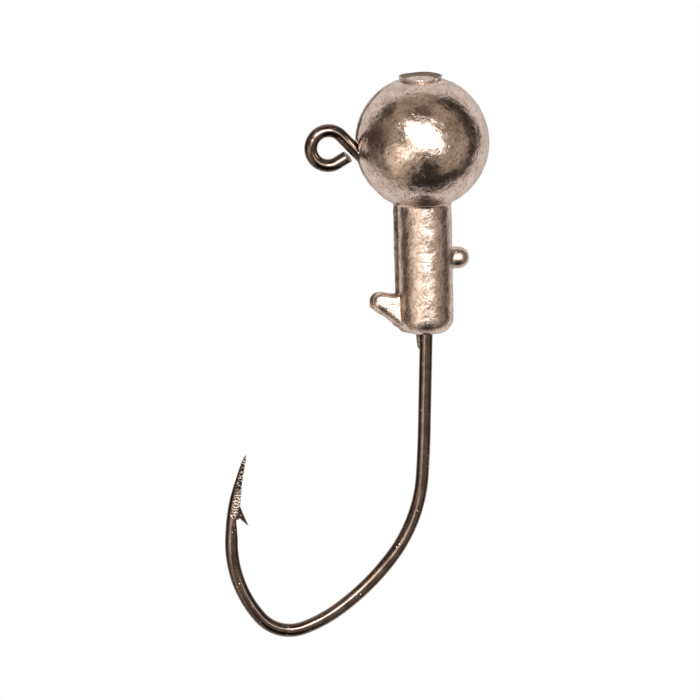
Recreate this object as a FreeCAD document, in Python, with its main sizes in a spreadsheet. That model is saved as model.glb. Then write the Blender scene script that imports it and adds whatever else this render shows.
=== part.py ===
import FreeCAD, Part
import math
import os
import Sketcher

# Cast lead jig head on a bent wire hook. Millimetres.
# Origin at the centre of the line eye, +X from the eye towards the ball, +Y along the hole
# of the eye, +Z from the hook bend up to the ball. The hook lies in the plane y = 0.

doc = FreeCAD.newDocument("jig_head")
V = FreeCAD.Vector
Y_AXIS = V(0, 1, 0)

# ---------------------------------------------------------------- driving dimensions
dims = doc.addObject("Spreadsheet::Sheet", "Dims")
dims_table = [
    ("wire_dia", 1.2, "hook wire"),
    ("eye_rad", 1.63, "line eye, wire centre line"),
    ("eye_closing_angle", 256.7, "degrees of wire round the line eye"),
    ("eye_tail", 1.7, "straight wire after the loop, before it is sheared off"),
    ("eye_gap", 0.15, "from the sheared end to the neck"),
    ("neck_slope", 46.9, "degrees below level, eye to ball"),
    ("neck_run", 10.46, "straight from the eye to the hidden bend"),
    ("neck_bend_rad", 3.0, "hidden bend in the lead"),
    ("neck_bend_turn", 45.44, "degrees"),
    ("shank_run", 17.66, "straight shank"),
    ("shank_sag_rad", 105.0, "first, very open bend"),
    ("shank_sag_turn", 2.5, "degrees"),
    ("heel_rad", 13.93, "outer bend under the shank"),
    ("heel_turn", 34.1, "degrees"),
    ("belly_rad", 22.94, "flatter run to the bottom"),
    ("belly_turn", 17.6, "degrees"),
    ("lower_rad", 12.57, "bend before the bottom"),
    ("lower_turn", 16.1, "degrees"),
    ("bottom_rad", 3.76, "tight bottom bend"),
    ("bottom_turn", 67.0, "degrees"),
    ("front_rad", 10.72, "rise to the point"),
    ("front_turn", 43.3, "degrees"),
    ("point_rad", 28.4, "point, centre line"),
    ("point_turn", 16.1, "degrees"),
    ("tip_dia", 0.06, "blunt end of the point"),
    ("barb_len", 2.2, "sliced barb"),
    ("barb_root_dia", 0.88, "barb at its root inside the wire"),
    ("barb_tip_dia", 0.06, "barb at its end"),
    ("barb_tip_x", -8.17, "barb end"),
    ("barb_tip_z", -34.96, "barb end"),
    ("barb_lean", 29.6, "degrees the barb stands off from upright"),
    ("notch_x", -9.27, "face left where the barb was sliced up"),
    ("notch_top", -34.34, "root of the barb"),
    ("notch_len", 2.0, "slice length along the wire"),
    ("forge_thick", 1.0, "wire thickness between the forged flats"),
    ("forge_rad", 100.0, "long radius of the forging dies"),
    ("forge_z", -45.3, "deepest forging, at the bottom of the bend"),
    ("head_x", 8.80, "ball and collar axis"),
    ("head_z", 0.16, "ball centre height"),
    ("ball_dia", 12.33, "lead ball"),
    ("collar_dia", 5.08, "lead collar"),
    ("collar_drop", 17.80, "ball centre to collar end"),
    ("collar_corner", 1.45, "rounding at the collar end"),
    ("stub_dia", 3.62, "cut gate stub on the ball"),
    ("stub_lip_dia", 3.90, "burr left by the cutters"),
    ("stub_top", 6.24, "ball centre to the cut face rim"),
    ("stub_lip", 0.16, "height of the burr"),
    ("stub_dish", 0.14, "hollow of the cut face"),
    ("nub_dia", 2.0, "keeper nub"),
    ("nub_drop", 10.89, "ball centre to nub axis"),
    ("nub_reach", 4.11, "collar axis to nub end"),
    ("fin_thick", 1.4, "keeper fin"),
    ("fin_edge", 0.45, "rounding round the fin"),
    ("fin_tip_rad", 0.87, "rounded tip of the fin"),
    ("fin_tip_x", 4.08, "collar axis to centre of the fin tip"),
    ("fin_tip_drop", 14.70, "ball centre to centre of the fin tip"),
    ("fin_root_x", 1.6, "collar axis to the root of the fin, inside the collar"),
    ("fin_root_top", 14.21, "ball centre to the upper end of the root"),
    ("fin_root_low", 17.73, "ball centre to the lower end of the root"),
    ("mould_shift", -0.2, "back mould half out of line with the front"),
    ("tongue_x", -0.77, "middle of the flash tongue from the collar axis"),
    ("tongue_wide", 0.33, "flash tongue"),
    ("tongue_drop", 19.3, "ball centre to the end of the tongue"),
    ("tongue_thick", 0.25, "flash tongue"),
    ("split_block", 60.0, "half-space blocks that part the two mould halves"),
]
for row, (alias, value, note) in enumerate(dims_table, start=1):
    dims.set("A%d" % row, alias)
    dims.set("B%d" % row, str(value))
    dims.set("C%d" % row, note)
    dims.setAlias("B%d" % row, alias)
doc.recompute()


def dim(alias):
    return float(dims.get(alias))


# ---------------------------------------------------------------- hook centre line
# The wire only ever bends one way, clockwise when looked at along +Y, so every piece of
# the path is a straight run or an arc that turns the heading down.
def direction(heading):
    return V(math.cos(heading), 0, math.sin(heading))


def run_path(start, heading, pieces):
    """Edges of straight runs (length, 0) and arcs (radius, degrees); also end point, heading."""
    edges = []
    point = start
    for size, turn in pieces:
        if turn == 0:
            end = point + direction(heading) * size
            edges.append(Part.makeLine(point, end))
        else:
            centre = point + direction(heading - math.pi / 2) * size
            spoke = heading + math.pi / 2
            swing = math.radians(turn)
            middle = centre + direction(spoke - swing / 2) * size
            end = centre + direction(spoke - swing) * size
            edges.append(Part.Arc(point, middle, end).toShape())
            heading = heading - swing
        point = end
    return edges, point, heading


def facing(heading):
    """Rotation that turns +Z to a heading in the plane y = 0."""
    return FreeCAD.Rotation(V(0, 0, 1), direction(heading))


def add_circle(name, expression, point, heading):
    circle = doc.addObject("Part::Circle", name)
    circle.setExpression("Radius", expression)
    circle.Placement = FreeCAD.Placement(point, facing(heading))
    return circle


def add_sweep(name, edges, heading, start):
    path = doc.addObject("Part::Feature", name + "_path")
    path.Shape = Part.Wire(edges)
    section = add_circle(name + "_section", "Dims.wire_dia / 2", start, heading)
    doc.recompute()
    sweep = doc.addObject("Part::Sweep", name)
    sweep.Sections = [section]
    sweep.Spine = (path, ["Edge%d" % (i + 1) for i in range(len(edges))])
    sweep.Solid = True
    sweep.Frenet = False
    return sweep


neck_heading = -math.radians(dim("neck_slope"))
neck_start = direction(neck_heading + math.pi / 2) * dim("eye_rad")

# Neck, hidden bend, shank and hook bend, up to where the point starts to thin.
wire_pieces = [
    (dim("neck_run"), 0),
    (dim("neck_bend_rad"), dim("neck_bend_turn")),
    (dim("shank_run"), 0),
    (dim("shank_sag_rad"), dim("shank_sag_turn")),
    (dim("heel_rad"), dim("heel_turn")),
    (dim("belly_rad"), dim("belly_turn")),
    (dim("lower_rad"), dim("lower_turn")),
    (dim("bottom_rad"), dim("bottom_turn")),
    (dim("front_rad"), dim("front_turn")),
]
wire_edges, point_start, point_heading = run_path(neck_start, neck_heading, wire_pieces)
long_wire = add_sweep("long_wire", wire_edges, neck_heading, neck_start)

# Line eye: wire wound round the eye and a straight tail, run on past its finished length.
loop_heading = neck_heading + math.radians(dim("eye_closing_angle"))
loop_start = direction(loop_heading + math.pi / 2) * dim("eye_rad")
tail_start = loop_start - direction(loop_heading) * dim("eye_tail")
loop_pieces = [
    (dim("eye_tail"), 0),
    (dim("eye_rad"), dim("eye_closing_angle")),
]
loop_edges, loop_end, loop_out = run_path(tail_start, loop_heading, loop_pieces)
eye_wire = add_sweep("eye_wire", loop_edges, loop_heading, tail_start)

# The tail is sheared parallel to the neck, a hair short of touching it.
shear = doc.addObject("Part::Box", "shear_block")
shear.setExpression("Length", "3 * Dims.wire_dia")
shear.setExpression("Width", "4 * Dims.wire_dia")
shear.setExpression("Height", "3 * Dims.wire_dia")
neck_normal = direction(neck_heading - math.pi / 2)
neck_side = neck_normal * (dim("wire_dia") / 2 + dim("eye_gap"))
shear_corner = neck_start + neck_side + direction(neck_heading) * dim("wire_dia") * 0.8
shear_turn = FreeCAD.Rotation(Y_AXIS, math.degrees(-neck_heading))
shear.Placement = FreeCAD.Placement(shear_corner - Y_AXIS * 2 * dim("wire_dia"), shear_turn)

eye_cut = doc.addObject("Part::Cut", "eye_sheared")
eye_cut.Base = eye_wire
eye_cut.Tool = shear

# ---------------------------------------------------------------- point and barb
# Ground point: round sections along the last arc, (distance from the tip, share of wire).
taper = [(1.20, 0.39), (2.60, 0.56), (4.20, 0.85), (6.00, 0.97)]
point_len = dim("point_rad") * math.radians(dim("point_turn"))
point_sections = [add_circle("point_base", "Dims.wire_dia / 2", point_start, point_heading)]
for number, (from_tip, share) in enumerate(reversed(taper), start=1):
    travelled = math.degrees((point_len - from_tip) / dim("point_rad"))
    bent, place, turned = run_path(point_start, point_heading, [(dim("point_rad"), travelled)])
    rule = "Dims.wire_dia * %.2f / 2" % share
    point_sections.append(add_circle("point_section_%d" % number, rule, place, turned))
bent, tip_place, tip_heading = run_path(
    point_start, point_heading, [(dim("point_rad"), dim("point_turn"))]
)
point_sections.append(add_circle("point_tip", "Dims.tip_dia / 2", tip_place, tip_heading))
doc.recompute()
point = doc.addObject("Part::Loft", "point")
point.Sections = point_sections
point.Solid = True
point.Ruled = False

bare_hook = doc.addObject("Part::MultiFuse", "bare_hook")
bare_hook.Shapes = [eye_cut, long_wire, point]
bare_hook.Refine = True

# Flat left in the inner side of the wire where the barb is sliced up.
notch = doc.addObject("Part::Box", "barb_notch")
notch.setExpression("Length", "Dims.wire_dia")
notch.setExpression("Width", "2 * Dims.wire_dia")
notch.setExpression("Height", "Dims.notch_len")
notch.setExpression("Placement.Base.x", "Dims.notch_x")
notch.setExpression("Placement.Base.y", "-Dims.wire_dia")
notch.setExpression("Placement.Base.z", "Dims.notch_top - Dims.notch_len")

# Forging dies: two very large rollers that squeeze the bottom of the bend flat.
dies = []
for name, side in (("front_die", -1), ("back_die", 1)):
    die = doc.addObject("Part::Cylinder", name)
    die.setExpression("Radius", "Dims.forge_rad")
    die.setExpression("Height", "20 * Dims.wire_dia")
    die.Placement = FreeCAD.Placement(V(0, 0, 0), FreeCAD.Rotation(Y_AXIS, 90))
    die.setExpression("Placement.Base.x", "-14 * Dims.wire_dia")
    die.setExpression("Placement.Base.y", "%d * (Dims.forge_rad + Dims.forge_thick / 2)" % side)
    die.setExpression("Placement.Base.z", "Dims.forge_z")
    dies.append(die)

hook_cutters = doc.addObject("Part::Compound", "hook_cutters")
hook_cutters.Links = [notch] + dies
shaped_hook = doc.addObject("Part::Cut", "shaped_hook")
shaped_hook.Base = bare_hook
shaped_hook.Tool = hook_cutters

barb = doc.addObject("Part::Cone", "barb")
barb.setExpression("Radius1", "Dims.barb_tip_dia / 2")
barb.setExpression("Radius2", "Dims.barb_root_dia / 2")
barb.setExpression("Height", "Dims.barb_len")
barb.Placement = FreeCAD.Placement(V(0, 0, 0), FreeCAD.Rotation(Y_AXIS, -dim("barb_lean")))
barb.setExpression("Placement.Base.x", "Dims.barb_tip_x")
barb.setExpression("Placement.Base.z", "Dims.barb_tip_z")

jig_hook = doc.addObject("Part::MultiFuse", "jig_hook")
jig_hook.Shapes = [shaped_hook, barb]
jig_hook.Refine = True
jig_hook.Label = "jig_hook"
doc.recompute()

# ---------------------------------------------------------------- lead casting
# One mould form: ball, collar, gate stub, keeper nub and keeper fin. Its own origin is the
# ball centre, its own plane XZ is the parting plane of the mould.
form = doc.addObject("PartDesign::Body", "mould_form")
form.setExpression("Placement.Base.x", "Dims.head_x")
form.setExpression("Placement.Base.z", "Dims.head_z")


def origin_plane(body, role):
    return [f for f in body.Origin.OriginFeatures if f.Role == role][0]


def add_sketch(body, name, rise=None):
    sketch = body.newObject("Sketcher::SketchObject", name)
    sketch.AttachmentSupport = [(origin_plane(body, "XZ_Plane"), "")]
    sketch.MapMode = "FlatFace"
    if rise:
        sketch.setExpression("AttachmentOffset.Base.y", rise)
    return sketch


def line(sketch, start, end):
    return sketch.addGeometry(Part.LineSegment(V(*start, 0), V(*end, 0)), False)


def arc(sketch, centre, radius, start_deg, end_deg):
    circle = Part.Circle(V(*centre, 0), V(0, 0, 1), radius)
    start = math.radians(start_deg)
    end = math.radians(end_deg)
    return sketch.addGeometry(Part.ArcOfCircle(circle, start, end), False)


def rule(sketch, kind, *where, drive=None, name=None):
    """Add a constraint; with drive, name it and bind its value to the sheet."""
    index = sketch.addConstraint(Sketcher.Constraint(kind, *where))
    if drive:
        sketch.renameConstraint(index, name)
        sketch.setExpression("Constraints." + name, drive)
    return index


START = 1
END = 2
CENTRE = 3
H_AXIS = -1
V_AXIS = -2

# Ball and collar turned round the vertical axis.
outline = add_sketch(form, "ball_and_collar")
ball_rad = dim("ball_dia") / 2
collar_rad = dim("collar_dia") / 2
collar_end = -dim("collar_drop")
corner = dim("collar_corner")
junction = -math.sqrt(ball_rad ** 2 - collar_rad ** 2)
under = line(outline, (0, collar_end), (collar_rad - corner, collar_end))
rounding = arc(outline, (collar_rad - corner, collar_end + corner), corner, -90, 0)
side = line(outline, (collar_rad, collar_end + corner), (collar_rad, junction))
junction_deg = math.degrees(math.atan2(junction, collar_rad))
ball = arc(outline, (0, 0), ball_rad, junction_deg, 90)
axis = line(outline, (0, ball_rad), (0, collar_end))
rule(outline, "Tangent", under, END, rounding, START)
rule(outline, "Tangent", rounding, END, side, START)
rule(outline, "Coincident", side, END, ball, START)
rule(outline, "Coincident", ball, END, axis, START)
rule(outline, "Coincident", axis, END, under, START)
rule(outline, "Horizontal", under)
rule(outline, "Vertical", side)
rule(outline, "PointOnObject", ball, END, V_AXIS)
rule(outline, "PointOnObject", axis, END, V_AXIS)
rule(outline, "Coincident", ball, CENTRE, H_AXIS, START)
rule(outline, "Radius", ball, ball_rad, drive="Dims.ball_dia / 2", name="ball_rad")
rule(outline, "Radius", rounding, corner, drive="Dims.collar_corner", name="corner_rad")
rule(outline, "DistanceX", H_AXIS, START, side, START, collar_rad,
     drive="Dims.collar_dia / 2", name="collar_rad")
rule(outline, "DistanceY", under, START, H_AXIS, START, -collar_end,
     drive="Dims.collar_drop", name="collar_drop")
turned = form.newObject("PartDesign::Revolution", "turned_form")
turned.Profile = outline
turned.ReferenceAxis = (outline, ["V_Axis"])
turned.Angle = 360
form.Tip = turned
doc.recompute()

# Gate stub: short round pin with a burred lip and a slightly hollow cut face.
gate = add_sketch(form, "gate_profile")
stub_rad = dim("stub_dia") / 2
lip_rad = dim("stub_lip_dia") / 2
stub_top = dim("stub_top")
lip_low = stub_top - dim("stub_lip")
dish_low = stub_top - dim("stub_dish")
foot = line(gate, (0, 0), (stub_rad, 0))
wall = line(gate, (stub_rad, 0), (stub_rad, lip_low))
flare = line(gate, (stub_rad, lip_low), (lip_rad, stub_top))
dish = line(gate, (lip_rad, stub_top), (0, dish_low))
core = line(gate, (0, dish_low), (0, 0))
chain = [foot, wall, flare, dish, core]
for first, second in zip(chain, chain[1:] + chain[:1]):
    rule(gate, "Coincident", first, END, second, START)
rule(gate, "Coincident", foot, START, H_AXIS, START)
rule(gate, "Horizontal", foot)
rule(gate, "Vertical", wall)
rule(gate, "Vertical", core)
rule(gate, "DistanceX", H_AXIS, START, wall, START, stub_rad,
     drive="Dims.stub_dia / 2", name="stub_rad")
rule(gate, "DistanceX", H_AXIS, START, flare, END, lip_rad,
     drive="Dims.stub_lip_dia / 2", name="lip_rad")
rule(gate, "DistanceY", H_AXIS, START, flare, END, stub_top,
     drive="Dims.stub_top", name="stub_top")
rule(gate, "DistanceY", H_AXIS, START, wall, END, lip_low,
     drive="Dims.stub_top - Dims.stub_lip", name="lip_low")
rule(gate, "DistanceY", H_AXIS, START, dish, END, dish_low,
     drive="Dims.stub_top - Dims.stub_dish", name="dish_low")
stub = form.newObject("PartDesign::Revolution", "gate_stub")
stub.Profile = gate
stub.ReferenceAxis = (gate, ["V_Axis"])
stub.Angle = 360
form.Tip = stub
doc.recompute()

# Keeper nub: level round peg with a ball end on the side away from the hook point.
peg = add_sketch(form, "nub_profile", rise="-Dims.nub_drop")
nub_rad = dim("nub_dia") / 2
nub_end = dim("nub_reach")
peg_axis = line(peg, (0, 0), (nub_end, 0))
peg_end = arc(peg, (nub_end - nub_rad, 0), nub_rad, 0, 90)
peg_side = line(peg, (nub_end - nub_rad, nub_rad), (0, nub_rad))
peg_back = line(peg, (0, nub_rad), (0, 0))
rule(peg, "Coincident", peg_axis, END, peg_end, START)
rule(peg, "Tangent", peg_end, END, peg_side, START)
rule(peg, "Coincident", peg_side, END, peg_back, START)
rule(peg, "Coincident", peg_back, END, peg_axis, START)
rule(peg, "Coincident", peg_axis, START, H_AXIS, START)
rule(peg, "Horizontal", peg_axis)
rule(peg, "Horizontal", peg_side)
rule(peg, "Vertical", peg_back)
rule(peg, "PointOnObject", peg_end, CENTRE, H_AXIS)
rule(peg, "Radius", peg_end, nub_rad, drive="Dims.nub_dia / 2", name="nub_rad")
rule(peg, "DistanceX", H_AXIS, START, peg_axis, END, nub_end,
     drive="Dims.nub_reach", name="nub_reach")
nub = form.newObject("PartDesign::Revolution", "keeper_nub")
nub.Profile = peg
nub.ReferenceAxis = (peg, ["H_Axis"])
nub.Angle = 360
form.Tip = nub
doc.recompute()

# Keeper fin: a flat barb that points back up towards the ball, rounded all round its edge.
fin_body = doc.addObject("PartDesign::Body", "keeper_fin")
fin_body.setExpression("Placement.Base.x", "Dims.head_x")
fin_body.setExpression("Placement.Base.z", "Dims.head_z")
plan = add_sketch(fin_body, "fin_plan")
tip_rad = dim("fin_tip_rad")
tip_x = -dim("fin_tip_x")
tip_z = -dim("fin_tip_drop")
root_x = -dim("fin_root_x")
root_top = -dim("fin_root_top")
root_low = -dim("fin_root_low")
tip_round = arc(plan, (tip_x, tip_z), tip_rad, 75, 231)
low_edge = line(plan, (tip_x, tip_z - tip_rad), (root_x, root_low))
root = line(plan, (root_x, root_low), (root_x, root_top))
top_edge = line(plan, (root_x, root_top), (tip_x, tip_z + tip_rad))
rule(plan, "Tangent", tip_round, END, low_edge, START)
rule(plan, "Coincident", low_edge, END, root, START)
rule(plan, "Coincident", root, END, top_edge, START)
rule(plan, "Tangent", top_edge, END, tip_round, START)
rule(plan, "Vertical", root)
rule(plan, "Radius", tip_round, tip_rad, drive="Dims.fin_tip_rad", name="tip_rad")
rule(plan, "DistanceX", tip_round, CENTRE, H_AXIS, START, -tip_x,
     drive="Dims.fin_tip_x", name="tip_x")
rule(plan, "DistanceY", tip_round, CENTRE, H_AXIS, START, -tip_z,
     drive="Dims.fin_tip_drop", name="tip_drop")
rule(plan, "DistanceX", root, START, H_AXIS, START, -root_x,
     drive="Dims.fin_root_x", name="root_x")
rule(plan, "DistanceY", root, END, H_AXIS, START, -root_top,
     drive="Dims.fin_root_top", name="root_top")
rule(plan, "DistanceY", root, START, H_AXIS, START, -root_low,
     drive="Dims.fin_root_low", name="root_low")
fin_pad = fin_body.newObject("PartDesign::Pad", "fin_pad")
fin_pad.Profile = plan
fin_pad.Midplane = True
fin_pad.setExpression("Length", "Dims.fin_thick")
fin_body.Tip = fin_pad
doc.recompute()
side_y = dim("fin_thick") / 2
side_edges = [
    "Edge%d" % (number + 1)
    for number, edge in enumerate(fin_pad.Shape.Edges)
    if all(abs(abs(vertex.Y) - side_y) < 0.001 for vertex in edge.Vertexes)
    and abs(edge.Vertexes[0].Y - edge.Vertexes[-1].Y) < 0.001
    and edge.BoundBox.XLength > 0.01
]
fin_round = fin_body.newObject("PartDesign::Fillet", "fin_round")
fin_round.Base = (fin_pad, side_edges)
fin_round.setExpression("Radius", "Dims.fin_edge")
fin_body.Tip = fin_round
doc.recompute()

# Flash tongue: thin strip of lead that ran out between the mould halves beside the shank.
tongue_strip = doc.addObject("Part::Box", "tongue_strip")
tongue_strip.setExpression("Length", "Dims.tongue_wide")
tongue_strip.setExpression("Width", "Dims.tongue_thick")
tongue_strip.setExpression("Height", "Dims.tongue_drop - Dims.collar_drop + 1")
left = "Dims.head_x + Dims.tongue_x - Dims.tongue_wide / 2"
tongue_strip.setExpression("Placement.Base.x", left)
tongue_strip.setExpression("Placement.Base.y", "-Dims.tongue_thick / 2")
tongue_strip.setExpression("Placement.Base.z", "Dims.head_z - Dims.tongue_drop")
tongue_end = doc.addObject("Part::Cylinder", "tongue_end")
tongue_end.setExpression("Radius", "Dims.tongue_wide / 2")
tongue_end.setExpression("Height", "Dims.tongue_thick")
tongue_end.Placement = FreeCAD.Placement(V(0, 0, 0), FreeCAD.Rotation(V(1, 0, 0), -90))
tongue_end.setExpression("Placement.Base.x", "Dims.head_x + Dims.tongue_x")
tongue_end.setExpression("Placement.Base.y", "-Dims.tongue_thick / 2")
tongue_end.setExpression("Placement.Base.z", "Dims.head_z - Dims.tongue_drop")

casting = doc.addObject("Part::MultiFuse", "casting")
casting.Shapes = [form, fin_body]
shifted = doc.addObject("Part::Compound", "shifted_casting")
shifted.Links = [casting]
shifted.setExpression("Placement.Base.x", "Dims.mould_shift")

# The two mould halves meet in the plane y = 0, the back one a little out of line.
halves = []
for name, source, front_y in (("front", casting, "-Dims.split_block"), ("back", shifted, "0")):
    block = doc.addObject("Part::Box", name + "_block")
    block.setExpression("Length", "2 * Dims.split_block")
    block.setExpression("Width", "Dims.split_block")
    block.setExpression("Height", "2 * Dims.split_block")
    block.setExpression("Placement.Base.x", "-Dims.split_block")
    block.setExpression("Placement.Base.y", front_y)
    block.setExpression("Placement.Base.z", "-Dims.split_block")
    half = doc.addObject("Part::Common", name + "_half")
    half.Base = source
    half.Tool = block
    halves.append(half)

poured = doc.addObject("Part::MultiFuse", "poured_lead")
poured.Shapes = halves + [tongue_strip, tongue_end]
poured.Refine = True

# The lead takes the exact shape of the wire it is poured round.
lead_head = doc.addObject("Part::Cut", "lead_head")
lead_head.Base = poured
lead_head.Tool = jig_hook
lead_head.Label = "lead_head"
doc.recompute()

# ---------------------------------------------------------------- write the sub-parts
for item in doc.Objects:
    if "Invalid" in item.State or "Error" in item.State:
        raise RuntimeError("%s did not build: %s" % (item.Name, item.State))

os.makedirs("parts", exist_ok=True)
for node in (lead_head, jig_hook):
    shape = node.Shape
    if shape.isNull() or not shape.isValid():
        raise RuntimeError("%s has no valid shape" % node.Label)
    shape.exportStep("parts/%s.step" % node.Label)
    print(node.Label, "solids", len(shape.Solids), "volume %.2f mm3" % shape.Volume)
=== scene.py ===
import math

import bmesh
import bpy
import numpy as np
from mathutils import Matrix, Vector, noise


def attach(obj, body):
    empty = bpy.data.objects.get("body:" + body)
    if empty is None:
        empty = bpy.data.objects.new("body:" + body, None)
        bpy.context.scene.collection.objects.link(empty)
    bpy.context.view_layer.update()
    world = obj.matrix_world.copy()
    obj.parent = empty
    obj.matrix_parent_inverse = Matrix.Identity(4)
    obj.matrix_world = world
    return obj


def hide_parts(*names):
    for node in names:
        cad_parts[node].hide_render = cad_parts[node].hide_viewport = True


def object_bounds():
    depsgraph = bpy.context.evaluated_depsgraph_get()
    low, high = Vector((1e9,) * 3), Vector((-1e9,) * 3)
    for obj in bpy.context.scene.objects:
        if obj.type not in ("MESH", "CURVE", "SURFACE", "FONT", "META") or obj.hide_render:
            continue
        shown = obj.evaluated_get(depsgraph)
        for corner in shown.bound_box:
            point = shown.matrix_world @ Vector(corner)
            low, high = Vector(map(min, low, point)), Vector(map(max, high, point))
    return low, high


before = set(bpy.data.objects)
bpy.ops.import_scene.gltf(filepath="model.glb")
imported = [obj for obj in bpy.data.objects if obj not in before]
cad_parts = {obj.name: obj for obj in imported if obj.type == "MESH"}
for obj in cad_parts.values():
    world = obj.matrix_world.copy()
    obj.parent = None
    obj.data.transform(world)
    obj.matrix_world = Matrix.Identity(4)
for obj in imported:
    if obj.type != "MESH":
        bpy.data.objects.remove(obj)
cad_low, cad_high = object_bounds()

# ------------------------------------------------------------------ hook wire
# One length of hardened steel wire with dark bronzed plating, bent cold: line eye, neck, a
# bend hidden in the lead, shank and hook bend. The bend is squeezed a little between dies,
# the point is ground and the barb is sliced up from the inner side.
MM = 0.001
WIRE_RADIUS = 0.6
EYE_RADIUS = 1.63
EYE_CLOSING = 256.7
NECK_SLOPE = 46.9
TAIL_RUN = 1.3
BENDS_FORGED = 5
FORGING_FADE = 4.0
FORGED_HALF_THICKNESS = 0.565
FORGED_WIDENING = 0.02
POINT_ROUND = 8.0
RING_POINTS = 44
WIRE_BENDS = [
    (TAIL_RUN, 0),
    (EYE_RADIUS, EYE_CLOSING),
    (10.46, 0),
    (3.0, 45.44),
    (17.66, 0),
    (105.0, 2.5),
    (13.93, 34.1),
    (22.94, 17.6),
    (12.57, 16.1),
    (3.76, 67.0),
    (10.72, 43.3),
    (28.4, 16.1),
]


def heading_vector(heading):
    return np.array([math.cos(heading), 0.0, math.sin(heading)])


def bend_length(size, turn):
    return size if turn == 0 else size * math.radians(turn)


def bend_wire(start, heading, bends, coarse, fine, fine_run):
    """Centre line of runs (length, 0) and clockwise arcs (radius, degrees), denser at the end."""
    total = sum(bend_length(size, turn) for size, turn in bends)
    places = np.arange(0, total - fine_run, coarse)
    places = np.append(places, np.arange(total - fine_run, total, fine))
    places = np.append(places, total)
    line = []
    headings = []
    piece_start = 0.0
    corner = np.array(start)
    for size, turn in bends:
        swing = math.radians(turn)
        length = bend_length(size, turn)
        inside = places[(places >= piece_start) & (places < piece_start + length)] - piece_start
        if length + piece_start >= total - 1e-9:
            inside = np.append(inside, length)
        for travel in inside:
            if turn == 0:
                line.append(corner + heading_vector(heading) * travel)
                headings.append(heading)
            else:
                turned = travel / size
                middle = corner + heading_vector(heading - math.pi / 2) * size
                spoke = heading + math.pi / 2 - turned
                line.append(middle + heading_vector(spoke) * size)
                headings.append(heading - turned)
        if turn == 0:
            corner = corner + heading_vector(heading) * length
        else:
            middle = corner + heading_vector(heading - math.pi / 2) * size
            corner = middle + heading_vector(heading + math.pi / 2 - swing) * size
            heading -= swing
        piece_start += length
    return np.array(line), np.array(headings), total


neck_heading = -math.radians(NECK_SLOPE)
loop_heading = neck_heading + math.radians(EYE_CLOSING)
loop_start = heading_vector(loop_heading + math.pi / 2) * EYE_RADIUS
tail_end = loop_start - heading_vector(loop_heading) * TAIL_RUN
centre_line, centre_headings, wire_length = bend_wire(
    tail_end, loop_heading, WIRE_BENDS, coarse=0.12, fine=0.045, fine_run=8.6
)
steps = np.linalg.norm(np.diff(centre_line, axis=0), axis=1)
travelled = np.append(0.0, np.cumsum(steps))
to_tip = travelled[-1] - travelled

# Thickness of the point in the plane of the hook, by distance from its tip.
TAPER_FROM_TIP = [0.0, 0.12, 0.35, 1.1, 2.2, 3.2, 4.15, 4.95, 6.0, 8.0]
TAPER_SHARE = [0.03, 0.10, 0.19, 0.37, 0.50, 0.66, 0.84, 0.92, 0.97, 1.0]
share = np.interp(to_tip, TAPER_FROM_TIP, TAPER_SHARE)
for _ in range(12):
    share[1:-1] = 0.25 * share[:-2] + 0.5 * share[1:-1] + 0.25 * share[2:]


class Socket:
    """One output in a node tree; sums and products of it become Math nodes."""

    def __init__(self, bench, output):
        self.bench = bench
        self.output = output

    def math(self, operation, first, second=None):
        values = {0: first}
        if second is not None:
            values[1] = second
        return self.bench.add("ShaderNodeMath", {"operation": operation}, values)

    def __add__(self, other):
        return self.math("ADD", self, other)

    __radd__ = __add__

    def __sub__(self, other):
        return self.math("SUBTRACT", self, other)

    def __rsub__(self, other):
        return self.math("SUBTRACT", other, self)

    def __mul__(self, other):
        return self.math("MULTIPLY", self, other)

    __rmul__ = __mul__

    def __truediv__(self, other):
        return self.math("DIVIDE", self, other)

    def __rtruediv__(self, other):
        return self.math("DIVIDE", other, self)

    def __abs__(self):
        return self.math("ABSOLUTE", self)

    def power(self, other):
        return self.math("POWER", self, other)

    def least(self, other):
        return self.math("MINIMUM", self, other)

    def root(self):
        return self.math("SQRT", self)

    def side(self):
        return self.math("SIGN", self)

    def step(self, low, high, to_low=0.0, to_high=1.0):
        """Soft step from to_low to to_high as this value goes from low to high."""
        settings = {"interpolation_type": "SMOOTHSTEP"}
        places = {"Value": self, 1: low, 2: high, 3: to_low, 4: to_high}
        return self.bench.add("ShaderNodeMapRange", settings, places, "Result")


class Bench:
    """A node tree being laid out, for a finish, a shape or the studio's light."""

    def __init__(self, tree):
        self.tree = tree
        self.column = 0

    def add(self, kind, settings=None, inputs=None, output=0):
        node = self.tree.nodes.new(kind)
        node.location = (self.column % 20 * 180, -(self.column // 20) * 260)
        self.column += 1
        for name, value in (settings or {}).items():
            setattr(node, name, value)
        for place, value in (inputs or {}).items():
            if isinstance(value, Socket):
                self.tree.links.new(value.output, node.inputs[place])
            elif value is not None:
                node.inputs[place].default_value = value
        self.last = node
        if not node.outputs:
            return None
        return Socket(self, node.outputs[output])

    def blend(self, amount, first, second):
        """Colour mixed from first to second."""
        settings = {"data_type": "RGBA", "blend_type": "MIX", "clamp_factor": True}
        first = first if isinstance(first, Socket) else (*first, 1.0)
        second = second if isinstance(second, Socket) else (*second, 1.0)
        return self.add("ShaderNodeMix", settings, {0: amount, 6: first, 7: second}, 2)

    def vector(self, operation, first, second=None, scale=None, output=0):
        inputs = {0: first}
        if second is not None:
            inputs[1] = second
        if scale is not None:
            inputs["Scale"] = scale
        return self.add("ShaderNodeVectorMath", {"operation": operation}, inputs, output)

    def dot(self, first, second):
        return self.vector("DOT_PRODUCT", first, second, output="Value")

    def sine(self, value):
        return self.add("ShaderNodeMath", {"operation": "SINE"}, {0: value})

    def link(self, value, shader, place):
        self.tree.links.new(value.output, shader.inputs[place])


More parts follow.
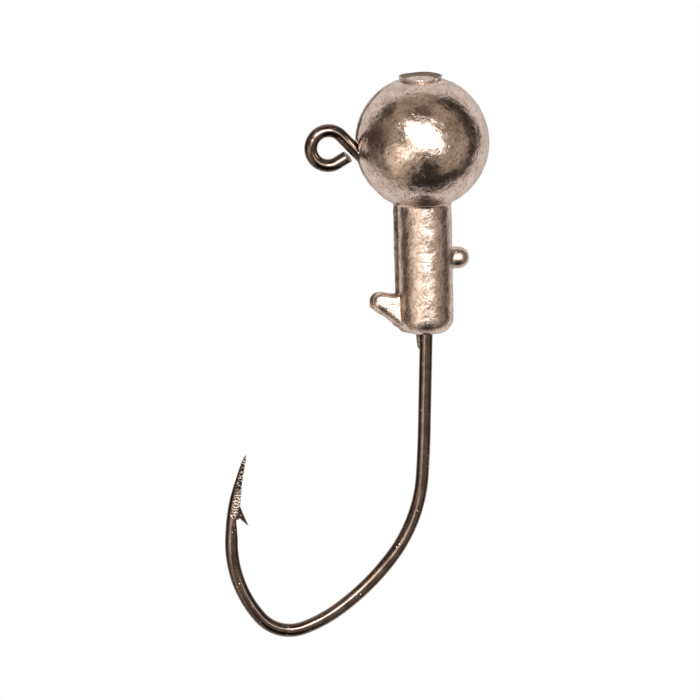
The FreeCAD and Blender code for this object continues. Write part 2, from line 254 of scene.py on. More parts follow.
def forged_wire_tree(sizes):
    """Sweeps a round wire along its centre line and squeezes the bend a little from both sides."""
    tree = bpy.data.node_groups.new("forged_wire", "GeometryNodeTree")
    face = tree.interface
    face.new_socket("Centre Line", in_out="INPUT", socket_type="NodeSocketGeometry")
    for name, value in sizes.items():
        kind = "NodeSocketInt" if name == "Ring Points" else "NodeSocketFloat"
        socket = face.new_socket(name, in_out="INPUT", socket_type=kind)
        socket.default_value = value
    face.new_socket("Plating", in_out="INPUT", socket_type="NodeSocketMaterial")
    face.new_socket("Wire", in_out="OUTPUT", socket_type="NodeSocketGeometry")
    bench = Bench(tree)
    bench.add("NodeGroupInput")
    given = bench.last

    def pick(name):
        return Socket(bench, given.outputs[name])

    def store(geometry, name, kind, value):
        settings = {"data_type": kind, "domain": "POINT"}
        inputs = {"Geometry": geometry, "Name": name, "Value": value}
        return bench.add("GeometryNodeStoreNamedAttribute", settings, inputs)

    along = bench.add("GeometryNodeSplineParameter", {}, {}, "Length")
    place = bench.add("GeometryNodeInputPosition")
    line = store(pick("Centre Line"), "along", "FLOAT", along)
    line = store(line, "centre", "FLOAT_VECTOR", place)
    section = bench.add(
        "GeometryNodeCurvePrimitiveCircle",
        {"mode": "RADIUS"},
        {"Resolution": pick("Ring Points"), "Radius": pick("Wire Radius")},
    )
    thickness = bench.add("GeometryNodeInputRadius")
    wire = bench.add(
        "GeometryNodeCurveToMesh",
        {},
        {"Curve": line, "Profile Curve": section, "Fill Caps": True, "Scale": thickness},
    )
    centre = bench.add(
        "GeometryNodeInputNamedAttribute", {"data_type": "FLOAT_VECTOR"}, {"Name": "centre"}
    )
    run = bench.add("GeometryNodeInputNamedAttribute", {"data_type": "FLOAT"}, {"Name": "along"})
    squeeze_in = run.step(pick("Forging Start"), pick("Forging Start") + pick("Forging Fade"))
    squeeze_out = run.step(pick("Forging End") - pick("Forging Fade"), pick("Forging End"))
    squeeze = squeeze_in * (1 - squeeze_out)
    wire = store(wire, "forged", "FLOAT", squeeze)
    offset = bench.vector("SUBTRACT", place, centre)
    sideways = bench.dot(offset, (0.0, 1.0, 0.0))
    in_plane = bench.vector("MULTIPLY", offset, (1.0, 0.0, 1.0))
    radius = pick("Wire Radius")
    half = radius - (radius - pick("Forged Half Thickness")) * squeeze
    pressed = sideways.side() * abs(sideways).least(half)
    widened = bench.vector("SCALE", in_plane, scale=1 + pick("Widening") * squeeze)
    across = bench.add("ShaderNodeCombineXYZ", {}, {"Y": pressed})
    moved = bench.vector("ADD", centre, bench.vector("ADD", widened, across))
    wire = bench.add("GeometryNodeSetPosition", {}, {"Geometry": wire, "Position": moved})
    wire = bench.add("GeometryNodeRealizeInstances", {}, {"Geometry": wire})
    wire = bench.add(
        "GeometryNodeSetMaterial", {}, {"Geometry": wire, "Material": pick("Plating")}
    )
    bench.add("NodeGroupOutput", {}, {"Wire": wire})
    return tree


def new_finish(name):
    """An empty material with a Principled shader; returns it, its bench and the shader."""
    finish = bpy.data.materials.new(name)
    finish.use_nodes = True
    finish.node_tree.nodes.clear()
    bench = Bench(finish.node_tree)
    surface = bench.add("ShaderNodeBsdfPrincipled")
    shader = bench.last
    bench.add("ShaderNodeOutputMaterial", {}, {"Surface": surface})
    return finish, bench, shader


def noise_field(bench, where, scale, detail=3.0, rough=0.55):
    inputs = {"Vector": where, "Scale": scale, "Detail": detail, "Roughness": rough}
    return bench.add("ShaderNodeTexNoise", {}, inputs)


def cell_field(bench, where, scale):
    """Distance to the nearest of many scattered points."""
    inputs = {"Vector": where, "Scale": scale, "Randomness": 1.0}
    return bench.add("ShaderNodeTexVoronoi", {"feature": "F1"}, inputs, "Distance")


def read_attribute(bench, name):
    return bench.add("ShaderNodeAttribute", {"attribute_name": name}, {}, "Fac")


def bump_up(bench, shader, height, strength, distance):
    inputs = {"Strength": strength, "Distance": distance, "Height": height}
    bench.link(bench.add("ShaderNodeBump", {}, inputs), shader, "Normal")


PLATING_DARK = (0.128, 0.095, 0.078)
PLATING_LIGHT = (0.205, 0.155, 0.128)
PLATING_STREAK = (0.070, 0.048, 0.034)
SPECK_COLOUR = (0.85, 0.78, 0.70)
STEEL_GROOVE_PAINTED_SHADE = (0.20, 0.13, 0.10)
STEEL_RIDGE_PAINTED_HIGHLIGHT = (1.00, 0.90, 0.84)
STEEL_PIT = (0.030, 0.022, 0.016)
RIDGE_PITCH = 0.27
ALONG_WIRE = (1.0, 1.0, 0.12)


def bronzed_plating():
    finish, bench, shader = new_finish("bronzed_plating")
    where = bench.add("ShaderNodeTexCoord", {}, {}, "Object")
    ground = read_attribute(bench, "ground")
    to_point = read_attribute(bench, "to_tip")
    cloudy = noise_field(bench, where, 900.0, 4.0)
    streaks = noise_field(bench, bench.vector("MULTIPLY", where, ALONG_WIRE), 2600.0, 2.0)
    coat = bench.blend(cloudy.step(0.35, 0.7), PLATING_DARK, PLATING_LIGHT)
    coat = bench.blend(streaks.step(0.55, 0.75) * 0.45, coat, PLATING_STREAK)
    rarely = noise_field(bench, where, 1500.0, 1.0)
    speck = (1 - cell_field(bench, where, 2500.0).step(0.07, 0.20)) * rarely.step(0.47, 0.55)
    coat = bench.blend(speck * 0.85, coat, SPECK_COLOUR)
    # The ground point shows paler bare steel, a painted highlight on its grinding ridges, painted
    # shade in the grooves and rows of dark pits between the ridges.
    wander = noise_field(bench, where, 2900.0, 2.0)
    ridge = bench.sine((to_point + wander * 0.55) * (2 * math.pi / RIDGE_PITCH))
    pits = noise_field(bench, where, 5200.0, 2.0)
    toward_bend = to_point.step(3.0, 4.4)
    steel = bench.blend(ridge.step(-0.6, 0.4), STEEL_GROOVE_PAINTED_SHADE, STEEL_RIDGE_PAINTED_HIGHLIGHT)
    dark_pits = pits.step(0.42, 0.54) * (1 - toward_bend * 0.8)
    steel = bench.blend(dark_pits, steel, STEEL_PIT)
    bench.link(bench.blend(ground, coat, steel), shader, "Base Color")
    roughness = cloudy.step(0.3, 0.75, 0.055, 0.12) + speck * 0.25 + ground * 0.58
    bench.link(roughness, shader, "Roughness")
    shader.inputs["Metallic"].default_value = 1.0
    fine = noise_field(bench, where, 7000.0, 3.0)
    height = fine * 0.35 + cloudy * 0.5 + streaks * 0.3 - speck * 1.2 + ridge * ground * 0.8
    bump_up(bench, shader, height, strength=0.16, distance=0.00005)
    return finish


plating = bronzed_plating()

line_data = bpy.data.curves.new("hook_centre_line", "CURVE")
line_data.dimensions = "3D"
spline = line_data.splines.new("POLY")
spline.points.add(len(centre_line) - 1)
for bead, at, size in zip(spline.points, centre_line * MM, share):
    bead.co = (*at, 1.0)
    bead.radius = size
hook = bpy.data.objects.new("hook_wire_line", line_data)
bpy.context.scene.collection.objects.link(hook)
forged_run = sum(bend_length(size, turn) for size, turn in WIRE_BENDS[-BENDS_FORGED:])
bend_start = travelled[-1] - forged_run - FORGING_FADE / 2
hook_sizes = {
    "Wire Radius": WIRE_RADIUS * MM,
    "Forged Half Thickness": FORGED_HALF_THICKNESS * MM,
    "Widening": FORGED_WIDENING,
    "Forging Start": bend_start * MM,
    "Forging End": (travelled[-1] - POINT_ROUND) * MM,
    "Forging Fade": FORGING_FADE * MM,
    "Ring Points": RING_POINTS,
}
sweep = hook.modifiers.new("forged_wire", "NODES")
sweep.node_group = forged_wire_tree(hook_sizes)
given_values = {**hook_sizes, "Plating": plating}
for item in sweep.node_group.interface.items_tree:
    if item.in_out == "INPUT" and item.name in given_values:
        sweep[item.identifier] = given_values[item.name]
bpy.context.view_layer.update()
graph = bpy.context.evaluated_depsgraph_get()
wire_mesh = bpy.data.meshes.new_from_object(
    hook.evaluated_get(graph), preserve_all_data_layers=True, depsgraph=graph
)
bpy.data.objects.remove(hook)

count = len(wire_mesh.vertices)
wire_points = np.empty(count * 3)
wire_mesh.vertices.foreach_get("co", wire_points)
wire_points = wire_points.reshape(-1, 3) / MM


def read_floats(mesh, name, width=1):
    values = np.empty(len(mesh.vertices) * width)
    mesh.attributes[name].data.foreach_get("value" if width == 1 else "vector", values)
    return values if width == 1 else values.reshape(-1, width)


def write_floats(mesh, name, values):
    layer = mesh.attributes.get(name) or mesh.attributes.new(name, "FLOAT", "POINT")
    layer.data.foreach_set("value", np.asarray(values, dtype=np.float32))


def soft_step(values, low, high):
    ramp = np.clip((values - low) / (high - low), 0.0, 1.0)
    return ramp * ramp * (3 - 2 * ramp)


run = read_floats(wire_mesh, "along") / MM
from_tip = wire_length - run
wire_centres = read_floats(wire_mesh, "centre", 3) / MM
turned_to = np.interp(run, travelled, centre_headings)
inward = np.stack(
    [np.cos(turned_to - math.pi / 2), np.zeros(count), np.sin(turned_to - math.pi / 2)], axis=1
)
offset = wire_points - wire_centres
inner = np.sum(offset * inward, axis=1)
rest = offset - inner[:, None] * inward
local_radius = WIRE_RADIUS * np.interp(from_tip, to_tip[::-1], share[::-1])

# Slice left behind by the barb: deepest at its root, running out down the wire.
SLICE_START = 6.10
SLICE_RUN = 2.1
SLICE_DEPTH = 0.33
slice_depth = SLICE_DEPTH * np.clip(1 - (from_tip - SLICE_START) / SLICE_RUN, 0, 1)
slice_depth[from_tip < SLICE_START] = 0
sliced = (slice_depth > 0) & (inner > local_radius - slice_depth)
inner = np.where(sliced, local_radius - slice_depth, inner)

# Ground facets on both sides of the point, tilted towards its inner edge, with fine ridges
# left across them by the wheel.
FACET_TILT = math.radians(20)
FACET_START = 6.05
FACET_DEPTH = 0.40
FACET_FADE = 0.3
FACET_WANDER = 0.25
RIDGE_WANDER = 0.16
RIDGE_HEIGHT = 0.011
side = np.sign(rest[:, 1])
reach = inner * math.sin(FACET_TILT) + np.abs(rest[:, 1]) * math.cos(FACET_TILT)
ragged = np.array([noise.noise(Vector(p) * 2.2) for p in wire_points])
ground_in = soft_step(-from_tip + FACET_WANDER * ragged, -FACET_START, -FACET_START + FACET_FADE)
ridges = np.sin((from_tip + RIDGE_WANDER * ragged) * (2 * math.pi / RIDGE_PITCH))
limit = local_radius * (1 - FACET_DEPTH * ground_in) + RIDGE_HEIGHT * ridges * ground_in
excess = np.where(ground_in > 0, np.maximum(reach - limit, 0.0), 0.0)
inner -= excess * math.sin(FACET_TILT)
rest[:, 1] -= side * excess * math.cos(FACET_TILT)
ground = soft_step(excess, 0.0, 0.02) * soft_step(ground_in, 0.05, 0.6)
wire_points = wire_centres + rest + inner[:, None] * inward

# The tail of the eye is sheared nearly parallel to the neck, the cut turned a little forward.
NECK_GAP = 0.15
SHEAR_TURN = math.tan(math.radians(18))
SHEAR_BLEND = 0.9
SHEAR_STEEL_AND_HIGHLIGHT = 0.8
neck_start = heading_vector(neck_heading + math.pi / 2) * EYE_RADIUS
neck_normal = heading_vector(neck_heading - math.pi / 2)
tail_way = heading_vector(loop_heading)
from_neck = (wire_points - neck_start) @ neck_normal
wanted = WIRE_RADIUS + NECK_GAP + SHEAR_TURN * (WIRE_RADIUS - wire_points[:, 1])
moved_by = (from_neck - wanted) / (tail_way @ neck_normal)
near_end = np.clip(1 - run / SHEAR_BLEND, 0, 1)
wire_points -= tail_way * (moved_by * near_end)[:, None]
# The sheared end shows bare steel, coloured like the ground point with its painted highlight and
# shade.
ground = np.maximum(ground, (run < 0.01) * SHEAR_STEEL_AND_HIGHLIGHT)

wire_mesh.vertices.foreach_set("co", (wire_points * MM).ravel())
write_floats(wire_mesh, "ground", ground)
write_floats(wire_mesh, "to_tip", from_tip)

# Barb: a sliver with the wire's round back and a flat underside, curled away from the wire.
BARB_TIP = (-8.172, -34.957)
BARB_BACK = [(-8.97, -32.95), (-8.66, -33.85), BARB_TIP]
BARB_UNDER = [(-9.42, -33.80), (-8.98, -34.24), BARB_TIP]
BARB_HALF_WIDTH = 0.40
BARB_EDGE = 0.015
BARB_NARROWING = 2.2
BARB_ROUNDING = 0.8
BARB_SECTIONS = 30
BARB_ARC = 16
BARB_FROM_TIP = 6.0


def quadratic(points, share_along):
    first, control, last = (np.array(p) for p in points)
    rest_share = 1 - share_along
    return (
        first * rest_share ** 2
        + control * 2 * share_along * rest_share
        + last * share_along ** 2
    )


def tube_mesh(name, rings, material):
    """A closed mesh of rings of points in millimetres, each joined to the next, ends capped."""
    shape = bmesh.new()
    loops = [[shape.verts.new([value * MM for value in at]) for at in ring] for ring in rings]
    for loop, following in zip(loops, loops[1:]):
        for spoke in range(len(loop)):
            onward = (spoke + 1) % len(loop)
            shape.faces.new((loop[spoke], loop[onward], following[onward], following[spoke]))
    shape.faces.new(loops[0][::-1])
    shape.faces.new(loops[-1])
    bmesh.ops.recalc_face_normals(shape, faces=shape.faces)
    mesh = bpy.data.meshes.new(name)
    shape.to_mesh(mesh)
    shape.free()
    mesh.materials.append(material)
    return mesh


barb_rings = []
for number in range(BARB_SECTIONS + 1):
    share_along = number / BARB_SECTIONS
    back_x, back_z = quadratic(BARB_BACK, share_along)
    under_x, under_z = quadratic(BARB_UNDER, share_along)
    half_width = BARB_HALF_WIDTH * (1 - share_along ** BARB_NARROWING) + BARB_EDGE
    ring = []
    for spoke in range(BARB_ARC + 1):
        angle = math.pi * (spoke / BARB_ARC - 0.5)
        at_edge = abs(angle) >= math.pi / 2 - 0.01
        rise = 0.0 if at_edge else math.cos(angle) ** BARB_ROUNDING
        x = under_x + (back_x - under_x) * rise
        z = under_z + (back_z - under_z) * rise
        ring.append((x, half_width * math.sin(angle), z))
    barb_rings.append(ring)
barb_mesh = tube_mesh("barb_sliver", barb_rings, plating)
write_floats(barb_mesh, "to_tip", [BARB_FROM_TIP] * len(barb_mesh.vertices))
write_floats(barb_mesh, "ground", [0.0] * len(barb_mesh.vertices))


def place_piece(name, mesh, sharp_above):
    """A finished piece: smooth faces, crisp where the surface turns more than sharp_above."""
    mesh.name = name
    piece = bpy.data.objects.new(name, mesh)
    bpy.context.scene.collection.objects.link(piece)
    mesh.shade_smooth()
    mesh.set_sharp_from_angle(angle=math.radians(sharp_above))
    return piece


def join_pieces(main, *others):
    bpy.ops.object.select_all(action="DESELECT")
    for piece in (main, *others):
        piece.select_set(True)
    bpy.context.view_layer.objects.active = main
    bpy.ops.object.join()
    return main


jig_wire = place_piece("jig_wire", wire_mesh, 38)
barb_sliver = place_piece("barb_sliver", barb_mesh, 38)
join_pieces(jig_wire, barb_sliver)
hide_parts("jig_hook")
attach(jig_wire, "root")

# ------------------------------------------------------------------ lead casting
# Ball, collar, keeper fin and keeper nub, poured in one shot of lead round the hook. The
# mould's back half sat a little to one side of its front half, so a small step and a ragged
# line of flash run all the way round.
HEAD_X = 8.81
HEAD_Z = 0.16
BALL_RADIUS = 6.165
COLLAR_RADIUS = 2.54
COLLAR_DROP = 17.80
COLLAR_CORNER = 1.45
COLLAR_FILLET = 0.22
NUB_DROP = 10.89
NUB_RADIUS = 1.0
NUB_REACH = 4.11
FIN_TIP = (-4.09, -14.70)
FIN_TIP_RADIUS = 0.87
FIN_SLOPE = math.radians(-23.5)
FIN_FLARE = math.radians(14.5)
FIN_LENGTH = 3.0
FIN_THICK = 1.4
FIN_EDGE = 0.52
FIN_DRAFT = 0.055
FIN_DRAFT_LEVEL = -0.5
KEEPER_FILLET = 0.22
MOULD_SHIFT_HEIGHTS = [-17.8, -6.3, -4.6, 6.2]
MOULD_SHIFTS = [-0.24, -0.31, -0.10, -0.10]
LEDGE_SLOPE = 0.8
LEDGE_FADE = 0.5
DIMPLE_RADIUS = 0.80
DIMPLE_FROM = 0.5
DIMPLE_TO = 1.75
DIMPLE_FILLET = 0.16
VOXEL = 0.113


def merge_soft(first, second, width):
    """Union of two shapes with a small fillet of that width."""
    share_first = np.clip(0.5 + 0.5 * (second - first) / width, 0, 1)
    mixed = second + (first - second) * share_first
    return mixed - width * share_first * (1 - share_first)


def collar_distance(p):
    radial = np.hypot(p[:, 0], p[:, 1]) - (COLLAR_RADIUS - COLLAR_CORNER)
    middle = COLLAR_DROP / 2
    upright = np.abs(p[:, 2] + middle) - (middle - COLLAR_CORNER)
    outside = np.hypot(np.maximum(radial, 0), np.maximum(upright, 0))
    return outside + np.minimum(np.maximum(radial, upright), 0) - COLLAR_CORNER


def nub_distance(p):
    level = p[:, 0] - np.clip(p[:, 0], 0, NUB_REACH - NUB_RADIUS)
    blunt = np.sqrt(level ** 2 + p[:, 1] ** 2 + (p[:, 2] + NUB_DROP) ** 2)
    return blunt - NUB_RADIUS


def fin_distance(p):
    """Tapered fin: the outline round two circles, given a thickness and a rounded edge."""
    dx = p[:, 0] - FIN_TIP[0]
    dz = p[:, 2] - FIN_TIP[1]
    out = dx * math.cos(FIN_SLOPE) + dz * math.sin(FIN_SLOPE)
    off = np.abs(-dx * math.sin(FIN_SLOPE) + dz * math.cos(FIN_SLOPE))
    sine = math.sin(FIN_FLARE)
    cosine = math.cos(FIN_FLARE)
    travel = out * cosine + off * sine
    big_radius = FIN_TIP_RADIUS + FIN_LENGTH * sine
    flank = off * cosine - out * sine - FIN_TIP_RADIUS
    at_tip = np.hypot(out, off) - FIN_TIP_RADIUS
    at_root = np.hypot(out - FIN_LENGTH, off) - big_radius
    outline = np.where(travel < 0, at_tip, flank)
    outline = np.where(travel > FIN_LENGTH * cosine, at_root, outline)
    rim = outline + FIN_EDGE
    depth = np.abs(p[:, 1]) - (FIN_THICK / 2 - FIN_EDGE) + FIN_DRAFT * (dz - FIN_DRAFT_LEVEL)
    outside = np.hypot(np.maximum(rim, 0), np.maximum(depth, 0))
    return outside + np.minimum(np.maximum(rim, depth), 0) - FIN_EDGE


dimple_start = np.array([neck_start[0] - HEAD_X, 0.0, neck_start[2] - HEAD_Z])
dimple_way = heading_vector(neck_heading)


def dimple_distance(p):
    """Shallow hollow that the mould's hook slot leaves where the neck goes into the ball."""
    reach_along = np.clip((p - dimple_start) @ dimple_way, DIMPLE_FROM, DIMPLE_TO)
    nearest = dimple_start + reach_along[:, None] * dimple_way
    return np.linalg.norm(p - nearest, axis=1) - DIMPLE_RADIUS


def casting_distance(p):
    ball = np.linalg.norm(p, axis=1) - BALL_RADIUS
    body = merge_soft(ball, collar_distance(p), COLLAR_FILLET)
    body = merge_soft(body, nub_distance(p), KEEPER_FILLET)
    body = merge_soft(body, fin_distance(p), KEEPER_FILLET)
    return -merge_soft(-body, dimple_distance(p), DIMPLE_FILLET)


def settle_on_surface(points, rounds, flat=False):
    """Moves points onto the casting's surface; flat keeps them in the parting plane."""
    small = 0.004
    for _ in range(rounds):
        value = casting_distance(points)
        slope = np.zeros_like(points)
        for axis in (0, 2) if flat else (0, 1, 2):
            nudge = np.zeros(3)
            nudge[axis] = small
            ahead = casting_distance(points + nudge)
            behind = casting_distance(points - nudge)
            slope[:, axis] = (ahead - behind) / (2 * small)
        steep = np.maximum(np.sum(slope ** 2, axis=1), 0.2)
        points = points - slope * (value / steep)[:, None]
    return points, slope


# Rods and a ball a little smaller than the real sizes are remeshed to an even skin, whose
# points then move out onto the surface. All in millimetres.
rough = bmesh.new()
bmesh.ops.create_uvsphere(rough, u_segments=96, v_segments=64, radius=BALL_RADIUS)


def rough_rod(radius, length, middle, turn):
    bmesh.ops.create_cone(
        rough,
        cap_ends=True,
        segments=64,
        radius1=radius,
        radius2=radius,
        depth=length,
        matrix=Matrix.Translation(middle) @ turn,
    )


upright = Matrix.Identity(4)
level = Matrix.Rotation(math.pi / 2, 4, "Y")
across = Matrix.Rotation(math.pi / 2, 4, "X")
rough_rod(COLLAR_RADIUS, COLLAR_DROP - 0.4, (0, 0, -COLLAR_DROP / 2 + 0.1), upright)
rough_rod(NUB_RADIUS, NUB_REACH - 0.3, ((NUB_REACH - 0.3) / 2, 0, -NUB_DROP), level)
for out in np.linspace(0, FIN_LENGTH, 9):
    size = FIN_TIP_RADIUS + out * math.sin(FIN_FLARE) - 0.05
    at_x = FIN_TIP[0] + out * math.cos(FIN_SLOPE)
    at_z = FIN_TIP[1] + out * math.sin(FIN_SLOPE)
    rough_rod(size, FIN_THICK - 0.1, (at_x, 0, at_z), across)
rough_mesh = bpy.data.meshes.new("rough_casting")
rough.to_mesh(rough_mesh)
rough.free()
rough_piece = bpy.data.objects.new("rough_casting", rough_mesh)
bpy.context.scene.collection.objects.link(rough_piece)
skin = rough_piece.modifiers.new("even_skin", "REMESH")
skin.mode = "VOXEL"
skin.voxel_size = VOXEL
bpy.context.view_layer.update()
graph = bpy.context.evaluated_depsgraph_get()
even_mesh = bpy.data.meshes.new_from_object(rough_piece.evaluated_get(graph), depsgraph=graph)
bpy.data.objects.remove(rough_piece)
skin_points = np.empty(len(even_mesh.vertices) * 3)
even_mesh.vertices.foreach_get("co", skin_points)
skin_points, _ = settle_on_surface(skin_points.reshape(-1, 3), 6)
even_mesh.vertices.foreach_set("co", skin_points.ravel())

# Front half only, cut clean along the parting plane; the back half is its mirror image.
half = bmesh.new()
half.from_mesh(even_mesh)
bmesh.ops.bisect_plane(
    half,
    geom=half.verts[:] + half.edges[:] + half.faces[:],
    dist=0.03,
    use_snap_center=True,
    plane_co=(0, 0, 0),
    plane_no=(0, 1, 0),
    clear_outer=True,
)
half.verts.ensure_lookup_table()
rim_edges = [edge for edge in half.edges if edge.is_boundary]
for vert in {vert for edge in rim_edges for vert in edge.verts}:
    vert.co.y = 0.0
half.verts.index_update()
half_points = np.array([vert.co[:] for vert in half.verts])
on_rim = np.zeros(len(half_points), dtype=bool)
on_rim[[vert.index for edge in rim_edges for vert in edge.verts]] = True
rim_points, rim_slope = settle_on_surface(half_points[on_rim], 6, flat=True)

# Flash: the seam stands slightly proud, more along the lower edge of the fin.
FLASH = 0.018
FIN_FLASH = 0.08
FLASH_LEFT_OF = -1.6
FLASH_BELOW = -15.0
rim_normal = rim_slope / np.linalg.norm(rim_slope, axis=1)[:, None]
raggedness = np.array([0.5 + noise.noise(Vector(p) * 1.7) for p in rim_points])
under_fin = (rim_points[:, 0] < FLASH_LEFT_OF) & (rim_points[:, 2] < FLASH_BELOW)
proud = np.where(under_fin, FIN_FLASH, FLASH) * np.clip(raggedness * 1.6, 0, 1.6)
half_points[on_rim] = rim_points + rim_normal * proud[:, None]

faces = [[vert.index for vert in face.verts] for face in half.faces]
rim_pairs = [[vert.index for vert in edge.verts] for edge in rim_edges]
half.free()
front = half_points + np.array([HEAD_X, 0, HEAD_Z])
mould_shift = np.interp(half_points[:, 2], MOULD_SHIFT_HEIGHTS, MOULD_SHIFTS)
back = half_points * np.array([1, -1, 1]) + np.array([HEAD_X, 0, HEAD_Z])
back[:, 0] += mould_shift
back[:, 1] -= mould_shift * LEDGE_SLOPE * np.exp(-back[:, 1] / LEDGE_FADE)
casting = bmesh.new()
verts = [casting.verts.new(p * MM) for p in np.concatenate([front, back])]
for face in faces:
    casting.faces.new([verts[i] for i in face])
    casting.faces.new([verts[i + len(front)] for i in reversed(face)])
for start, end in rim_pairs:
    ledge = (verts[start], verts[end], verts[end + len(front)], verts[start + len(front)])
    casting.faces.new(ledge)
bmesh.ops.recalc_face_normals(casting, faces=casting.faces)
casting_mesh = bpy.data.meshes.new("lead_casting")
casting.normal_update()
normals = np.array([vert.normal[:] for vert in casting.verts])
places = np.array([vert.co[:] for vert in casting.verts]) / MM

# Uneven skin: the lead shrinks as it freezes, so it is never quite true.
# Each wave: height, how close together, and where it starts.
SKIN_WAVES = [(0.030, 0.45, (0, 0, 0)), (0.022, 1.1, (7, 0, 3)), (0.010, 2.6, (1, 5, 2))]
swell = np.zeros(len(places))
for tall, close, begin in SKIN_WAVES:
    swell += [tall * noise.noise(Vector(p) * close + Vector(begin)) for p in places]
places += normals * swell[:, None]
casting.to_mesh(casting_mesh)
casting.free()
casting_mesh.vertices.foreach_set("co", (places * MM).ravel())
lead_casting = place_piece("lead_casting", casting_mesh, 50)


LEAD_DULL = (0.57, 0.455, 0.39)
LEAD_BRIGHT = (0.78, 0.65, 0.59)
LEAD_CLOUD = (0.50, 0.40, 0.30)
LEAD_GRAIN = (0.32, 0.235, 0.175)
LEAD_PIT = (0.14, 0.10, 0.08)
LEAD_HAZE = (0.47, 0.36, 0.27)
NIPPED_WALL = (0.47, 0.42, 0.39)
DARK_PAINTED_SHADE = (0.25, 0.19, 0.135)


def cast_lead():
    finish, bench, shader = new_finish("cast_lead")
    where = bench.add("ShaderNodeTexCoord", {}, {}, "Object")
    height_up = bench.dot(where, (0.0, 0.0, 1.0))
    coarse_skin = 1 - height_up.step(-0.0068, -0.0045)
    finish_and_shade = read_attribute(bench, "finish_and_shade")
    broad = noise_field(bench, where, 260.0, 3.0)
    mottle = noise_field(bench, where, 850.0, 6.0, 0.65)
    grain = noise_field(bench, where, 3600.0, 5.0, 0.65)
    sparse = noise_field(bench, where, 800.0, 2.0)
    pit = (1 - cell_field(bench, where, 1900.0).step(0.08, 0.24)) * sparse.step(0.50, 0.60)
    colour = bench.blend(mottle.step(0.36, 0.62), LEAD_DULL, LEAD_BRIGHT)
    colour = bench.blend(broad.step(0.45, 0.75) * 0.35, colour, LEAD_CLOUD)
    colour = bench.blend(grain.step(0.49, 0.64) * 0.7, colour, LEAD_GRAIN)
    colour = bench.blend(pit * 0.8, colour, LEAD_PIT)
    haze = noise_field(bench, where, 950.0, 5.0, 0.62).step(0.52, 0.64)
    colour = bench.blend(haze * 0.3, colour, LEAD_HAZE)
    # The stub's cut face and the flash tongue are painted dark brown, a painted shade over their
    # rough finish; the stub's wall and rim get a paler, less metallic finish.
    painted_shade_mask = finish_and_shade.step(0.55, 1.0)
    wall = finish_and_shade.step(0.0, 0.5)
    colour = bench.blend(wall * 0.8, colour, NIPPED_WALL)
    colour = bench.blend(painted_shade_mask, colour, DARK_PAINTED_SHADE)
    bench.link(colour, shader, "Base Color")
    roughness = mottle.step(0.3, 0.7, 0.09, 0.17) + pit * 0.3
    roughness = roughness + coarse_skin * 0.095 + finish_and_shade * 0.5
    roughness = roughness + haze * (0.11 - coarse_skin * 0.07)
    bench.link(roughness, shader, "Roughness")
    bench.link(1 - wall * (1 - painted_shade_mask) * 0.3, shader, "Metallic")
    # Heights in millimetres.
    ripple = noise_field(bench, where, 1500.0, 2.0)
    height = ripple * (0.026 - coarse_skin * 0.006)
    height = height + grain * (0.021 + coarse_skin * 0.014) - pit * 0.02
    bump_up(bench, shader, height, strength=1.0, distance=MM)
    return finish


lead = cast_lead()
casting_mesh.materials.append(lead)

# ------------------------------------------------------------------ gate stub
# Short round stub left on top where the pouring gate was nipped off: a burred rim round a
# slightly hollow cut face, with two folds and a curl in the rim at the front right.
STUB_X = -0.11
STUB_SPOKES = 168
# Rings of the stub from the ball up and in over the rim: radius and height.
STUB_PROFILE = [
    (1.86, 5.55),
    (1.86, 5.70),
    (1.86, 5.80),
    (1.875, 5.88),
    (1.91, 5.98),
    (1.94, 6.08),
    (1.97, 6.15),
    (1.99, 6.21),
    (1.985, 6.255),
    (1.955, 6.285),
    (1.91, 6.29),
    (1.84, 6.26),
    (1.76, 6.21),
    (1.66, 6.16),
    (1.50, 6.11),
    (1.25, 6.07),
    (0.90, 6.04),
    (0.50, 6.02),
    (0.22, 6.02),
]
STUB_WALL_RINGS = 8
STUB_RIM_RINGS = 3
WALL_NIPPED = 0.5
RIM_NIPPED = 0.3
FACE_FINISH_AND_SHADE = 1.0
STUB_FRONT_DROP = 0.20
RIM_FROM = 5.85
RIM_RISE = 0.3
RIM_INSIDE = 1.2
RIM_BREADTH = 0.5
RIM_RADIUS = 1.97
# Folds and curl of the rim: degrees round from the front, width in degrees.
FIRST_FOLD = (43, 3.2)
SECOND_FOLD = (61, 3.0)
SECOND_FOLD_SHARE = 0.8
CURL = (78, 12)


def notch_shape(angle, middle, width):
    return math.exp(-(((angle - middle) / width) ** 2))


def share_between(value, start, width):
    return min(max((value - start) / width, 0), 1)


gate_rings = []
for radius, height in STUB_PROFILE:
    ring = []
    up_rim = share_between(height, RIM_FROM, RIM_RISE)
    rim_share = up_rim * share_between(radius, RIM_INSIDE, RIM_BREADTH)
    lift = up_rim * radius / RIM_RADIUS
    for spoke in range(STUB_SPOKES):
        angle = 2 * math.pi * spoke / STUB_SPOKES
        turn = math.degrees(angle)
        outward = Vector((math.sin(angle), -math.cos(angle), 0))
        wavy = noise.noise(outward * 1.3 + Vector((0, 0, height * 0.6)))
        folds = notch_shape(turn, *FIRST_FOLD) + SECOND_FOLD_SHARE * notch_shape(turn, *SECOND_FOLD)
        curl = notch_shape(turn, *CURL)
        wide = radius + rim_share * (0.05 * wavy - 0.15 * folds + 0.07 * curl)
        tall = height + rim_share * (0.04 * wavy - 0.05 * folds + 0.05 * curl)
        tall -= STUB_FRONT_DROP * lift * (0.5 + 0.5 * math.cos(angle)) ** 1.5
        tall += 0.03 * noise.noise(outward * radius * 1.1 + Vector((3, 0, 0)))
        at = outward * wide
        ring.append((HEAD_X + STUB_X + at.x, at.y, HEAD_Z + tall))
    gate_rings.append(ring)
gate_mesh = tube_mesh("gate_stub", gate_rings, lead)
